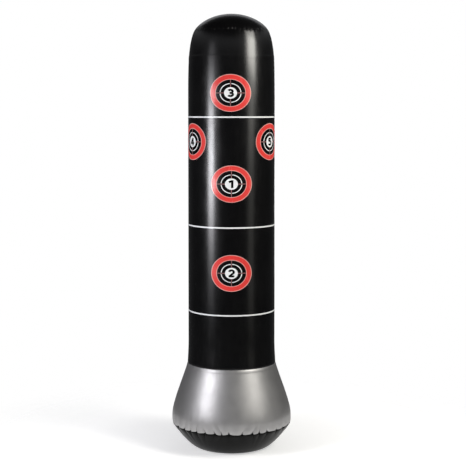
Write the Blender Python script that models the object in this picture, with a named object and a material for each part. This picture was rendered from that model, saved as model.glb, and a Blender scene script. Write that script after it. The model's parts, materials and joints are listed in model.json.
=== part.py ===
"""Inflatable free-standing boxing column on a water-filled rocking base.

Blender 4.5, metres, +Z up. The origin is on the floor under the column's axis. The side with the
middle row of printed targets faces -Y, and both valves are on the +Y side.
The skin is welded from vinyl sheets: at each seam one sheet's edge is tucked under the next one's.
"""

import math

import bmesh
import bpy
from mathutils import Matrix, Vector
from mathutils.bvhtree import BVHTree

# Outline of the inflated skin, from the floor up: (radius, height) of its seams and turning points.
SOLE_EDGE = (0.1240, 0.000)
RIM_SEAM = (0.2150, 0.090)
BELLY = (0.2182, 0.127)
NECK_SEAM = (0.1608, 0.314)
FOOT = (0.1590, 0.400)
CROWN_SEAM = (0.1575, 1.434)
CAP_SEAM = (0.1345, 1.538)
APEX = (0.0, 1.600)

# The column bends in the sleeve above the neck: about X at the lower pivot, about Y at the upper.
SLEEVE_SPLIT = 0.455
SLEEVE_TOP = 0.597
PITCH_PIVOT = 0.385
ROLL_PIVOT = 0.526

# Sheets
SHEET = 0.0005
GAP = 0.0003
LAP = 0.012
JOGGLE = 0.0025

# Inside the base. The diaphragm hangs from a flange between two heights.
WATER_LEVEL = 0.195
DIAPHRAGM_FLANGE = (0.284, 0.298)
DIAPHRAGM_SAG = 0.030
DIAPHRAGM_FLAT = 0.7
DIAPHRAGM_RISE = 0.060

# Where the valves sit on the back of the skin
FILLER_HEIGHT = 0.229
AIR_VALVE_HEIGHT = 0.700

# Common to both valves
THREAD_GAP = 0.0004
COLLAR_STEP = 0.0005
PLUG_WALL = 0.0018
PLUG_DRAFT = 0.0007
CHAMFER = 0.0010
GROOVE_WALL = 0.0013
GROOVE_LIP = 0.0012
SEAL_THICKNESS = 0.0012
CUT_REACH = 0.020

# Water filler, heights along its own axis from the skin outwards
FILLER_BORE = 0.0165
FILLER_NECK = 0.0190
FILLER_FLANGE = 0.0280
FILLER_NECK_TOP = 0.0090
FILLER_NECK_END = -0.0080
FILLER_PLUG_END = -0.0060
FILLER_GRIP = 0.0235
FILLER_CAP_TOP = 0.0165
FILLER_RING_HEIGHT = 0.0016
FILLER_SEAL_WIDTH = 0.0020

# Two-stage air valve, heights along its own axis from the skin outwards
AIR_BORE = 0.0105
AIR_COLLAR = 0.0135
AIR_FLANGE = 0.0240
AIR_COLLAR_TOP = 0.0060
AIR_COLLAR_END = -0.0100
INSERT_GRIP = 0.0160
INSERT_NECK = 0.0085
INSERT_PASSAGE = 0.0060
INSERT_END = -0.0082
INSERT_RIM_BOTTOM = 0.0078
INSERT_RIM_TOP = 0.0108
INSERT_NECK_TOP = 0.0185
WEB_THICKNESS = 0.0012
AIR_HOLES = 6
AIR_HOLE_RADIUS = 0.0011
AIR_HOLE_CIRCLE = 0.0041
FLAP_RADIUS = 0.0065
FLAP_THICKNESS = 0.0010
FLAP_STEM = 0.0013
FLAP_BULB = 0.0022
FLAP_SLACK = 0.0018
FLAP_BULB_HEIGHT = 0.0020
GASKET_WIDTH = 0.0030
AIR_CAP_GRIP = 0.0125
AIR_CAP_TOP = 0.0225

# Moulded leash that keeps each cap on its valve
LEASH_THICKNESS = 0.0012
LEASH_WIDTH = 0.0050
LEASH_LOOP = 0.022
AIR_LEASH_DROP = 0.0033
LEASH_STEPS = 8
RING_WIDTH = 0.0042

SKIN_SEGMENTS = 40
VALVE_SEGMENTS = 24
SHARP_ANGLE = math.radians(35)


# ---------------------------------------------------------------- materials

def material(name, colour, roughness, metallic=0.0):
    """A plain Principled material with the part's colour and gloss."""
    made = bpy.data.materials.new(name)
    made.use_nodes = True
    shader = made.node_tree.nodes["Principled BSDF"]
    shader.inputs["Base Color"].default_value = (*colour, 1.0)
    shader.inputs["Roughness"].default_value = roughness
    shader.inputs["Metallic"].default_value = metallic
    return made


def make_materials():
    """Every material of the part, by name."""
    return {
        "black_vinyl": material("black_vinyl", (0.006, 0.006, 0.007), 0.16),
        "silver_vinyl": material("silver_vinyl", (0.34, 0.33, 0.33), 0.30, 0.55),
        "base_vinyl": material("base_vinyl", (0.018, 0.018, 0.019), 0.42),
        "inner_vinyl": material("inner_vinyl", (0.030, 0.030, 0.032), 0.45),
        "water": material("water", (0.70, 0.82, 0.88), 0.05),
        "valve_plastic": material("valve_plastic", (0.020, 0.020, 0.021), 0.38),
        "leash_rubber": material("leash_rubber", (0.028, 0.028, 0.029), 0.55),
        "seal_rubber": material("seal_rubber", (0.45, 0.45, 0.44), 0.50),
    }


# ---------------------------------------------------------------- outlines

def curve(start, end, start_pull, end_pull, steps):
    """Points of a cubic from start to end that leaves and arrives along the two pulls."""
    points = []
    for step in range(steps + 1):
        t = step / steps
        weights = (
            2 * t**3 - 3 * t**2 + 1,
            t**3 - 2 * t**2 + t,
            3 * t**2 - 2 * t**3,
            t**3 - t**2,
        )
        values = zip(start, start_pull, end, end_pull)
        points.append(tuple(sum(w * v for w, v in zip(weights, axis)) for axis in values))
    return points


def skin_outline():
    """The whole outline of the inflated bag, from the middle of the sole to the apex."""
    dish = curve(SOLE_EDGE, RIM_SEAM, (0.085, 0.0), (0.052, 0.088), 7)
    roll = curve(RIM_SEAM, BELLY, (0.006, 0.030), (0.0, 0.045), 3)
    bell = curve(BELLY, NECK_SEAM, (0.0, 0.100), (-0.062, 0.200), 7)
    foot = curve(NECK_SEAM, FOOT, (-0.004, 0.030), (0.0, 0.050), 3)
    shoulder = curve(CROWN_SEAM, CAP_SEAM, (-0.004, 0.080), (-0.030, 0.085), 5)
    dome = curve(CAP_SEAM, APEX, (-0.052, 0.078), (-0.185, 0.0), 6)
    return [(0.0, 0.0), *dish, *roll[1:], *bell[1:], *foot[1:], *shoulder, *dome[1:]]


def between(outline, low, high):
    """The stretch of an outline between two heights, with its end points worked out."""
    stretch = []
    for (r0, z0), (r1, z1) in zip(outline, outline[1:]):
        if z1 <= low or z0 >= high:
            continue
        start = max(0.0, (low - z0) / (z1 - z0))
        end = min(1.0, (high - z0) / (z1 - z0))
        if not stretch:
            stretch.append((r0 + (r1 - r0) * start, z0 + (z1 - z0) * start))
        stretch.append((r0 + (r1 - r0) * end, z0 + (z1 - z0) * end))
    return stretch


def inset(outline, depth):
    """The outline moved into the bag by depth. Points on the axis stay on it."""
    moved = []
    last = len(outline) - 1
    for i, (radius, height) in enumerate(outline):
        before = outline[max(i - 1, 0)]
        after = outline[min(i + 1, last)]
        along = Vector((after[0] - before[0], after[1] - before[1])).normalized()
        if radius == 0.0:
            moved.append((0.0, height + depth * math.copysign(1.0, along.x)))
        else:
            moved.append((radius - depth * along.y, height + depth * along.x))
    return moved


def sheet_section(low, high, tuck_below=False, tuck_above=False):
    """Outer line of one sheet, with its edge tucked under the next sheet's where asked."""
    whole = skin_outline()
    under = SHEET + GAP
    line = between(whole, low + JOGGLE * tuck_below, high - JOGGLE * tuck_above)
    if low == 0.0:
        line.insert(0, (0.0, 0.0))
    if tuck_below:
        line = inset(between(whole, low - LAP, low + GAP), under) + line
    if tuck_above:
        line = line + inset(between(whole, high - GAP, high + LAP), under)
    return line


# ---------------------------------------------------------------- solids

def finish_object(name, bm, finish):
    """Turns a closed bmesh into a smooth-shaded object with its material."""
    bmesh.ops.recalc_face_normals(bm, faces=bm.faces)
    mesh = bpy.data.meshes.new(name)
    bm.to_mesh(mesh)
    bm.free()
    mesh.shade_smooth()
    mesh.set_sharp_from_angle(angle=SHARP_ANGLE)
    if finish is not None:
        mesh.materials.append(finish)
    made = bpy.data.objects.new(name, mesh)
    bpy.context.scene.collection.objects.link(made)
    return made


def turned(name, loop, segments, finish, height_over=None):
    """A solid of revolution about Z. loop is its closed section, (radius, height) points.

    height_over(x, y) raises the points of the loop that are marked with a third value, True.
    """
    bm = bmesh.new()
    rings = []
    for radius, height, *follows in loop:
        ring = []
        for i in range(segments if radius > 0.0 else 1):
            turn = math.tau * i / segments
            x = radius * math.cos(turn)
            y = radius * math.sin(turn)
            lift = height_over(x, y) if follows else 0.0
            ring.append(bm.verts.new((x, y, height + lift)))
        rings.append(ring)
    for ring, following in zip(rings, rings[1:] + rings[:1]):
        if len(ring) == 1 and len(following) == 1:
            continue
        for i in range(segments):
            j = i + 1
            corners = [
                ring[i % len(ring)],
                ring[j % len(ring)],
                following[j % len(following)],
                following[i % len(following)],
            ]
            bm.faces.new(list(dict.fromkeys(corners)))
    return finish_object(name, bm, finish)


def sheet(name, line, finish):
    """A sheet of the vinyl: its outer line, and the same line one thickness further in."""
    loop = line + inset(line, SHEET)[::-1]
    return turned(name, loop, SKIN_SEGMENTS, finish)


def strap(name, path, finish):
    """A flat strap below the valve's axis. path is its middle line, (distance, height) points."""
    bm = bmesh.new()
    sections = []
    last = len(path) - 1
    for i, (distance, height) in enumerate(path):
        before = path[max(i - 1, 0)]
        after = path[min(i + 1, last)]
        along = Vector((after[0] - before[0], after[1] - before[1])).normalized()
        section = []
        for x, side in ((-1, -1), (1, -1), (1, 1), (-1, 1)):
            offset = side * LEASH_THICKNESS / 2
            y = -(distance - along.y * offset)
            z = height + along.x * offset
            section.append(bm.verts.new((x * LEASH_WIDTH / 2, y, z)))
        sections.append(section)
    for section, following in zip(sections, sections[1:]):
        for i in range(4):
            j = (i + 1) % 4
            bm.faces.new((section[i], section[j], following[j], following[i]))
    bm.faces.new(sections[0])
    bm.faces.new(sections[-1])
    return finish_object(name, bm, finish)


def ring(name, inner, bottom, depth, width, finish):
    """A flat ring or washer about Z."""
    outer = inner + width
    top = bottom + depth
    loop = [(inner, bottom), (outer, bottom), (outer, top), (inner, top)]
    return turned(name, loop, VALVE_SEGMENTS, finish)


def cutter(name, centres, radius, bottom, top):
    """Round cutting rods along Z, one at each centre. They aren't part of the object."""
    bm = bmesh.new()
    for x, y in centres:
        place = Matrix.Translation((x, y, (bottom + top) / 2))
        bmesh.ops.create_cone(
            bm,
            cap_ends=True,
            segments=VALVE_SEGMENTS,
            radius1=radius,
            radius2=radius,
            depth=top - bottom,
            matrix=place,
        )
    rods = finish_object(name, bm, None)
    rods.hide_render = True
    rods.display_type = "WIRE"
    return rods


def cut(target, rods):
    """Takes the rods out of the target."""
    boolean = target.modifiers.new(rods.name, "BOOLEAN")
    boolean.operation = "DIFFERENCE"
    boolean.solver = "EXACT"
    boolean.object = rods


# ---------------------------------------------------------------- placing

def frame_empty(name, matrix, parent=None):
    """An empty that marks a joint's or a valve's own axes."""
    made = bpy.data.objects.new(name, None)
    bpy.context.scene.collection.objects.link(made)
    made.matrix_world = matrix
    if parent is not None:
        hang(made, parent)
    bpy.context.view_layer.update()
    return made


def hang(child, parent):
    """Parents child and leaves it where it stands."""
    child.parent = parent
    child.matrix_parent_inverse = parent.matrix_world.inverted()


def seat_in(frame, pieces):
    """Parents pieces that are modelled in a valve's own axes."""
    for piece in pieces:
        piece.parent = frame


def valve_axes(height):
    """Axes on the back of the skin: Z straight out of it, Y up along it."""
    (radius, _), (next_radius, _) = between(skin_outline(), height, height + 0.001)[:2]
    along = Vector((0.0, next_radius - radius, 0.001)).normalized()
    out = Vector((0.0, along.z, -along.y))
    side = along.cross(out)
    turn = Matrix((side, along, out)).transposed().to_4x4()
    return Matrix.Translation((0.0, radius, height)) @ turn


def skin_height(skin, axes):
    """A function that gives the skin's height over the valve's plane at (x, y)."""
    tree = BVHTree.FromPolygons(
        [vertex.co for vertex in skin.data.vertices],
        [polygon.vertices for polygon in skin.data.polygons],
    )
    back = axes.inverted()
    inwards = axes.to_3x3() @ Vector((0.0, 0.0, -1.0))

    def height(x, y):
        hit = tree.ray_cast(axes @ Vector((x, y, 0.05)), inwards)[0]
        return (back @ hit).z

    return height


# ---------------------------------------------------------------- the skin

def make_skin(finishes):
    """The welded sheets from the sole to the top, by name."""
    rim = RIM_SEAM[1]
    neck = NECK_SEAM[1]
    crown = CROWN_SEAM[1]
    cap = CAP_SEAM[1]
    split_low = SLEEVE_SPLIT - GAP / 2
    split_high = SLEEVE_SPLIT + GAP / 2
    sleeve_end = SLEEVE_TOP - GAP / 2
    wall_start = SLEEVE_TOP + GAP / 2
    sections = {
        "base_bottom": ("base_vinyl", sheet_section(0.0, rim, tuck_above=True)),
        "base_skirt": ("silver_vinyl", sheet_section(rim, neck)),
        "neck_sleeve_lower": ("black_vinyl", sheet_section(neck, split_low, tuck_below=True)),
        "neck_sleeve_upper": ("black_vinyl", sheet_section(split_high, sleeve_end)),
        "column_wall": ("black_vinyl", sheet_section(wall_start, crown, tuck_above=True)),
        "shoulder_panel": ("black_vinyl", sheet_section(crown, cap, tuck_above=True)),
        "top_cap": ("black_vinyl", sheet_section(cap, APEX[1])),
    }
    return {
        name: sheet(name, line, finishes[finish]) for name, (finish, line) in sections.items()
    }


def make_diaphragm(finishes):
    """The sagging disc that keeps the column's air and the base's water apart."""
    low, high = DIAPHRAGM_FLANGE
    flange = inset(between(skin_outline(), low, high), SHEET + GAP)
    radius, height = flange[0]
    middle = (0.0, height - DIAPHRAGM_SAG)
    rise = (radius * DIAPHRAGM_FLAT, DIAPHRAGM_RISE)
    disc = curve(middle, flange[0], (radius, 0.0), rise, 6)
    return sheet("diaphragm", disc[:-1] + flange, finishes["inner_vinyl"])


def make_water(finishes):
    """The water in the base, up to its level surface."""
    line = sheet_section(0.0, WATER_LEVEL)
    body = inset(line, 2 * (SHEET + GAP))
    return turned("water_ballast", body + [(0.0, body[-1][1])], SKIN_SEGMENTS, finishes["water"])


# ---------------------------------------------------------------- parts of both valves

def make_seat(name, skin, axes, bore, outer, flange, ends, finish):
    """A threaded collar through the skin, with a flange that lies against the skin's inside."""
    low, high = ends
    under = -(SHEET + GAP)
    flange_back = under - SEAL_THICKNESS
    inner_wall = outer - COLLAR_STEP
    section = [
        (bore, low),
        (inner_wall, low),
        (inner_wall, flange_back, True),
        (flange, flange_back, True),
        (flange, under, True),
        (outer, under, True),
        (outer, high),
        (bore, high),
    ]
    return turned(name, section, VALVE_SEGMENTS, finish, skin_height(skin, axes))


def grooved_grip(bottom, groove, grip, top):
    """Outside of a cap from its foot up: a lip, a groove that holds the leash ring, the grip."""
    lip_top = bottom + GROOVE_LIP
    groove_top = lip_top + LEASH_THICKNESS + 2 * GAP
    return [
        (groove + GROOVE_LIP, bottom),
        (groove + GROOVE_LIP, lip_top),
        (groove, lip_top),
        (groove, groove_top),
        (grip, groove_top),
        (grip, top - CHAMFER),
        (grip - CHAMFER, top),
        (0.0, top),
    ]


def make_leash(prefix, neck, neck_bottom, groove, groove_bottom, drop, finish):
    """The leash's ring round the neck, its ring in the cap's groove, and the strap between them.

    neck and groove are the radii that the rings turn on. drop turns the strap's ends downwards.
    """
    cap_bottom = groove_bottom + GAP
    neck_ring = ring(f"{prefix}_neck_ring", neck + GAP, neck_bottom, LEASH_THICKNESS, RING_WIDTH,
                     finish)
    cap_ring = ring(f"{prefix}_cap_ring", groove + GAP, cap_bottom, LEASH_THICKNESS, RING_WIDTH,
                    finish)
    reach = RING_WIDTH + 2 * GAP
    middle = LEASH_THICKNESS / 2
    path = curve(
        (neck + reach, neck_bottom + middle),
        (groove + reach, cap_bottom + middle),
        (LEASH_LOOP, -drop),
        (-LEASH_LOOP, -drop),
        LEASH_STEPS,
    )
    return [neck_ring, cap_ring, strap(f"{prefix}_leash", path, finish)]


def cut_hole(name, skin, radius):
    """The hole in the skin for a collar."""
    hole = cutter(name, [(0.0, 0.0)], radius + GAP, -CUT_REACH, CUT_REACH)
    cut(skin, hole)
    return hole


# ---------------------------------------------------------------- the water filler

def make_filler(finishes, skin):
    """The water filler on the back of the skirt: neck, screw plug, seal and leash."""
    axes = valve_axes(FILLER_HEIGHT)
    plastic = finishes["valve_plastic"]
    ends = (FILLER_NECK_END, FILLER_NECK_TOP)
    seat = make_seat(
        "filler_seat", skin, axes, FILLER_BORE, FILLER_NECK, FILLER_FLANGE, ends, plastic
    )
    seal_bottom = FILLER_NECK_TOP + GAP
    seal = ring("filler_cap_seal", FILLER_BORE + GAP, seal_bottom, SEAL_THICKNESS,
                FILLER_SEAL_WIDTH, finishes["seal_rubber"])
    rim_bottom = seal_bottom + SEAL_THICKNESS + GAP
    shank = FILLER_BORE - THREAD_GAP
    hollow = shank - PLUG_WALL
    cap = turned(
        "filler_cap",
        [
            (0.0, rim_bottom),
            (hollow - PLUG_DRAFT, rim_bottom),
            (hollow, FILLER_PLUG_END),
            (shank - CHAMFER, FILLER_PLUG_END),
            (shank, FILLER_PLUG_END + CHAMFER),
            (shank, rim_bottom),
            *grooved_grip(rim_bottom, FILLER_NECK, FILLER_GRIP, FILLER_CAP_TOP),
        ],
        VALVE_SEGMENTS,
        plastic,
    )
    leash = make_leash(
        "filler",
        FILLER_NECK,
        FILLER_RING_HEIGHT,
        FILLER_NECK,
        rim_bottom + GROOVE_LIP,
        0.0,
        finishes["leash_rubber"],
    )
    hole = cut_hole("filler_hole", skin, FILLER_NECK)
    seat_in(frame_empty("filler_axis", axes), [seat, seal, cap, *leash, hole])


# ---------------------------------------------------------------- the air valve

def make_insert(finish):
    """The screw-in middle of the air valve, with its perforated web."""
    shank = AIR_BORE - THREAD_GAP
    web_top = INSERT_END + WEB_THICKNESS
    stem_hole = FLAP_STEM + GAP
    insert = turned(
        "air_insert",
        [
            (stem_hole, INSERT_END),
            (shank - CHAMFER, INSERT_END),
            (shank, INSERT_END + CHAMFER),
            (shank, INSERT_RIM_BOTTOM),
            (INSERT_GRIP, INSERT_RIM_BOTTOM),
            (INSERT_GRIP, INSERT_RIM_TOP - CHAMFER),
            (INSERT_GRIP - CHAMFER, INSERT_RIM_TOP),
            (INSERT_NECK, INSERT_RIM_TOP),
            (INSERT_NECK, INSERT_NECK_TOP),
            (INSERT_PASSAGE, INSERT_NECK_TOP),
            (INSERT_PASSAGE, web_top),
            (stem_hole, web_top),
        ],
        VALVE_SEGMENTS,
        finish,
    )
    turns = [math.tau * i / AIR_HOLES for i in range(AIR_HOLES)]
    centres = [(AIR_HOLE_CIRCLE * math.cos(t), AIR_HOLE_CIRCLE * math.sin(t)) for t in turns]
    holes = cutter("air_web_holes", centres, AIR_HOLE_RADIUS, INSERT_END - GAP, web_top + GAP)
    cut(insert, holes)
    return [insert, holes]


def make_flap(finish):
    """The soft one-way flap: a disc under the web, held by a stem with a bulb above it."""
    top = INSERT_END - GAP
    bulb_bottom = INSERT_END + WEB_THICKNESS + FLAP_SLACK
    return turned(
        "air_flap",
        [
            (0.0, top - FLAP_THICKNESS),
            (FLAP_RADIUS, top - FLAP_THICKNESS / 2),
            (FLAP_RADIUS, top),
            (FLAP_STEM, top),
            (FLAP_STEM, bulb_bottom),
            (FLAP_BULB, bulb_bottom),
            (FLAP_STEM, bulb_bottom + FLAP_BULB_HEIGHT),
            (0.0, bulb_bottom + FLAP_BULB_HEIGHT),
        ],
        VALVE_SEGMENTS // 2,
        finish,
    )


def make_air_cap(finishes):
    """The outer cap of the air valve, its seal, and the leash that ties it to the insert."""
    thread = INSERT_NECK + THREAD_GAP
    neck_ring_bottom = INSERT_RIM_TOP + GAP
    bottom = neck_ring_bottom + LEASH_THICKNESS + GAP
    groove = thread + GROOVE_WALL
    seal_bottom = INSERT_NECK_TOP + GAP
    seal_top = seal_bottom + SEAL_THICKNESS
    cap = turned(
        "air_cap",
        [
            (thread, bottom),
            *grooved_grip(bottom, groove, AIR_CAP_GRIP, AIR_CAP_TOP),
            (0.0, seal_top + GAP),
            (thread, seal_top + GAP),
        ],
        VALVE_SEGMENTS,
        finishes["valve_plastic"],
    )
    seal = turned(
        "air_cap_seal",
        [(0.0, seal_bottom), (INSERT_NECK, seal_bottom), (INSERT_NECK, seal_top), (0.0, seal_top)],
        VALVE_SEGMENTS,
        finishes["seal_rubber"],
    )
    leash = make_leash(
        "air",
        INSERT_NECK,
        neck_ring_bottom,
        groove,
        bottom + GROOVE_LIP,
        AIR_LEASH_DROP,
        finishes["leash_rubber"],
    )
    return [cap, seal, *leash]


def make_air_valve(finishes, skin, column_frame):
    """The two-stage air valve on the back of the column."""
    axes = valve_axes(AIR_VALVE_HEIGHT)
    plastic = finishes["valve_plastic"]
    rubber = finishes["seal_rubber"]
    ends = (AIR_COLLAR_END, AIR_COLLAR_TOP)
    seat = make_seat(
        "air_valve_seat", skin, axes, AIR_BORE, AIR_COLLAR, AIR_FLANGE, ends, plastic
    )
    gasket_bottom = AIR_COLLAR_TOP + GAP
    gasket_depth = INSERT_RIM_BOTTOM - GAP - gasket_bottom
    gasket = ring("air_insert_gasket", AIR_BORE + GAP, gasket_bottom, gasket_depth, GASKET_WIDTH,
                  rubber)
    hole = cut_hole("air_valve_hole", skin, AIR_COLLAR)
    pieces = [seat, gasket, *make_insert(plastic), make_flap(rubber), *make_air_cap(finishes)]
    seat_in(frame_empty("air_valve_axis", axes, column_frame), [*pieces, hole])


# ---------------------------------------------------------------- the whole bag

def main():
    for old in list(bpy.data.objects):
        bpy.data.objects.remove(old, do_unlink=True)
    finishes = make_materials()
    skin = make_skin(finishes)
    make_diaphragm(finishes)
    make_water(finishes)
    neck_frame = frame_empty("neck_pivot", Matrix.Translation((0.0, 0.0, PITCH_PIVOT)))
    column_frame = frame_empty(
        "column_pivot", Matrix.Translation((0.0, 0.0, ROLL_PIVOT)), neck_frame
    )
    make_filler(finishes, skin["base_skirt"])
    make_air_valve(finishes, skin["column_wall"], column_frame)
    for name in ("neck_sleeve_lower", "neck_sleeve_upper"):
        hang(skin[name], neck_frame)
    for name in ("column_wall", "shoulder_panel", "top_cap"):
        hang(skin[name], column_frame)


main()
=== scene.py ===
import json
import math

import bmesh
import bpy
import numpy as np
from mathutils import Matrix, Vector


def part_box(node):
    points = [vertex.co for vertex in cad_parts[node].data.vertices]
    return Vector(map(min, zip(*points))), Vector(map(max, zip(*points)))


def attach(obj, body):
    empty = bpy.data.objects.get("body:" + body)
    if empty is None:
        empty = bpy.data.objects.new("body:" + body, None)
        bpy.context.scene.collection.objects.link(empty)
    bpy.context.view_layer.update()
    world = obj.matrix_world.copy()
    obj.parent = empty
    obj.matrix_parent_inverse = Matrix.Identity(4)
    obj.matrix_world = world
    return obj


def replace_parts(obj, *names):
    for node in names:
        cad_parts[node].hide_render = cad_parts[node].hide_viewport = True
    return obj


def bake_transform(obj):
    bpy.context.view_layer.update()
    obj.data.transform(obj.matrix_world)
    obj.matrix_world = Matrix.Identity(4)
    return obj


# Looks of the inflatable free-standing boxing column, in metres, in the CAD model's frame.
# The front, with the middle row of targets, faces -Y. Both valves are on the back.

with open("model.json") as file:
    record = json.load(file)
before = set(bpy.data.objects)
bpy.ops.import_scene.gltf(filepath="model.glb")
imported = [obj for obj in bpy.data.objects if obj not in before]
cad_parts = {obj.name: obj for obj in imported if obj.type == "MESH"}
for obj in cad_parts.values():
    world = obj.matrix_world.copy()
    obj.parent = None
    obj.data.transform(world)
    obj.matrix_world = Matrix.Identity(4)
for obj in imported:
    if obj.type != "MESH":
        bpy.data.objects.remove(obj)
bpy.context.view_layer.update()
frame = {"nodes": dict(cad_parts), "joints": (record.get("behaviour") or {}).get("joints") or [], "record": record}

# Sheet thickness, the lap at a weld, and how far a print stands off the column
SHEET = 0.0005
LAP = 0.012
LIFT = 0.00015

# How the skin differs from the CAD skin: in radius, in the height of two seams, and at the top
COLUMN_FULLER = 0.0012
CROWN_SLIMMER = 0.0016
CAP_FULLER = 0.0011
BASE_FULLER = 0.0030
RIM_HIGHER = 0.0045
NECK_HIGHER = 0.0026
APEX_LOWER = 0.0014

# Where the neck's flare ends (height) and where the column starts to narrow (radius, height)
FLARE_END = 0.400
NARROWING = (0.1586, 1.300)

FRONT = -math.pi / 2
BACK = math.pi / 2
SHARP_ANGLE = math.radians(40)


# ---------------------------------------------------------------- outline of the skin

def cubic(start, end, start_pull, end_pull, steps=200):
    """A cubic from start to end that leaves and arrives along the two pulls."""
    t = np.linspace(0.0, 1.0, steps + 1)[:, None]
    start, end, start_pull, end_pull = map(np.array, (start, end, start_pull, end_pull))
    return (
        (2 * t**3 - 3 * t**2 + 1) * start
        + (t**3 - 2 * t**2 + t) * start_pull
        + (3 * t**2 - 2 * t**3) * end
        + (t**3 - t**2) * end_pull
    )


def node_points(node):
    """(radius, height) of every vertex of a CAD node."""
    co = np.array([v.co for v in frame["nodes"][node].data.vertices])
    return np.column_stack((np.hypot(co[:, 0], co[:, 1]), co[:, 2]))


def radius_at(node, height):
    """The node's greatest radius at one of its own ring heights."""
    points = node_points(node)
    return points[np.abs(points[:, 1] - height) < 1e-4, 0].max()


def outline():
    """The skin's outline as fine (radius, height) points, and the heights of its seams.

    It follows the CAD skin to within 3 mm: a little fuller at the base, slimmer at the crown and
    lower at the apex. The rim and neck seams lie a little higher along it than in the CAD model.
    """
    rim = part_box("base_skirt")[0].z
    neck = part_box("base_skirt")[1].z
    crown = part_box("shoulder_panel")[0].z
    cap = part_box("top_cap")[0].z
    skirt = node_points("base_skirt")
    belly = skirt[skirt[:, 0].argmax()] + (BASE_FULLER, 0.0)
    sole = (radius_at("base_bottom", 0.0) + BASE_FULLER / 2, 0.0)
    rim_at = (radius_at("base_skirt", rim) + BASE_FULLER, rim)
    neck_at = (radius_at("base_skirt", neck) + BASE_FULLER, neck)
    foot_at = (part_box("neck_sleeve_upper")[1].x + COLUMN_FULLER, FLARE_END)
    crown_at = (radius_at("shoulder_panel", crown) - CROWN_SLIMMER, crown)
    cap_at = (radius_at("top_cap", cap) + CAP_FULLER, cap)
    apex = (0.0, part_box("top_cap")[1].z - APEX_LOWER)
    stretches = [
        np.linspace((0.0, 0.0), sole, 40),
        cubic(sole, rim_at, (0.085, 0.0), (0.052, 0.088)),
        cubic(rim_at, belly, (0.006, 0.030), (0.0, 0.045)),
        cubic(belly, neck_at, (0.0, 0.100), (-0.062, 0.200)),
        cubic(neck_at, foot_at, (-0.0045, 0.086), (-0.0003, 0.086)),
        np.linspace(foot_at, NARROWING, 400),
        cubic(NARROWING, crown_at, (-0.0002, 0.134), (-0.0070, 0.134)),
        cubic(crown_at, cap_at, (-0.0029, 0.058), (-0.0464, 0.091)),
        cubic(cap_at, apex, (-0.0510, 0.089), (-0.1950, 0.0)),
    ]
    line = np.concatenate([stretches[0]] + [s[1:] for s in stretches[1:]])
    seams = {
        "rim": rim + RIM_HIGHER,
        "neck": neck + NECK_HIGHER,
        "crown": crown,
        "cap": cap,
        "apex": apex[1],
    }
    return line, seams


OUTLINE, SEAM = outline()
SLEEVE_SPLIT = (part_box("neck_sleeve_lower")[1].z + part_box("neck_sleeve_upper")[0].z) / 2
SLEEVE_END = (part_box("neck_sleeve_upper")[1].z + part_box("column_wall")[0].z) / 2


def valve_axes(joint_name):
    """A valve's own axes, from its screw joint: X to its side, Y up along the skin, Z out of it."""
    joint = next(j for j in frame["joints"] if j["name"] == joint_name)
    out = Vector(joint["axis"]).normalized()
    side = Vector((-1.0, 0.0, 0.0))
    turn = Matrix((side, out.cross(side), out)).transposed().to_4x4()
    return Matrix.Translation(joint["pos_m"]) @ turn


FILLER = {"axes": valve_axes("filler_cap_turn"), "hole": 0.0193, "flange": 0.0280}
AIR_VALVE = {"axes": valve_axes("air_insert_turn"), "hole": 0.0138, "flange": 0.0240}


def running_length(line):
    """Distance along a line of points, from its start."""
    return np.concatenate(([0.0], np.cumsum(np.hypot(*np.diff(line, axis=0).T))))


def stretch(low, high, spacing, fine=()):
    """Points of the outline between two heights, spacing apart along it.

    fine holds (height, reach, spacing) of places that need closer rows.
    """
    heights = OUTLINE[:, 1]
    bottom, top = [(np.interp(height, heights, OUTLINE[:, 0]), height) for height in (low, high)]
    if low == 0.0:
        line = np.vstack((OUTLINE[heights < high], top))
    else:
        line = np.vstack((bottom, OUTLINE[(heights > low) & (heights < high)], top))
    along = running_length(line)
    marks = list(np.linspace(0.0, along[-1], max(2, round(along[-1] / spacing) + 1)))
    for height, reach, close in fine:
        middle = np.interp(height, line[:, 1], along)
        low_mark = max(0.0, middle - reach)
        high_mark = min(along[-1], middle + reach)
        marks = [m for m in marks if not low_mark < m < high_mark]
        marks += list(np.arange(low_mark, high_mark, close)) + [high_mark]
    marks = np.unique(np.round(marks, 7))
    return np.column_stack([np.interp(marks, along, line[:, k]) for k in (0, 1)])


def outward(line):
    """Unit outward normals of a (radius, height) line that runs upwards."""
    along = np.gradient(line, axis=0)
    length = np.hypot(along[:, 0], along[:, 1])[:, None]
    return np.column_stack((along[:, 1], -along[:, 0])) / length


def azimuths(count, windows=()):
    """Angles round the axis. windows holds (angle, half width, count) of finer stretches."""
    turns = np.linspace(-math.pi, math.pi, count, endpoint=False)
    for middle, half, fine in windows:
        gap = np.angle(np.exp(1j * (turns - middle)))
        turns = turns[np.abs(gap) > half]
        turns = np.concatenate((turns, middle + np.linspace(-half, half, fine)))
    return np.sort(np.angle(np.exp(1j * turns)))


# ---------------------------------------------------------------- meshes

def new_object(name, vertices, faces, materials, face_materials=None):
    """A smooth-shaded mesh object in the CAD model's frame, without unused vertices."""
    used = sorted({corner for face in faces for corner in face})
    if len(used) < len(vertices):
        new_number = dict(zip(used, range(len(used))))
        vertices = [vertices[number] for number in used]
        faces = [tuple(new_number[corner] for corner in face) for face in faces]
    mesh = bpy.data.meshes.new(name)
    mesh.from_pydata([tuple(v) for v in vertices], [], faces)
    for material in materials:
        mesh.materials.append(material)
    if face_materials is not None:
        mesh.polygons.foreach_set("material_index", face_materials)
    mesh.validate()
    mesh.shade_smooth()
    mesh.set_sharp_from_angle(angle=SHARP_ANGLE)
    made = bpy.data.objects.new(name, mesh)
    bpy.context.scene.collection.objects.link(made)
    return made


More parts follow.
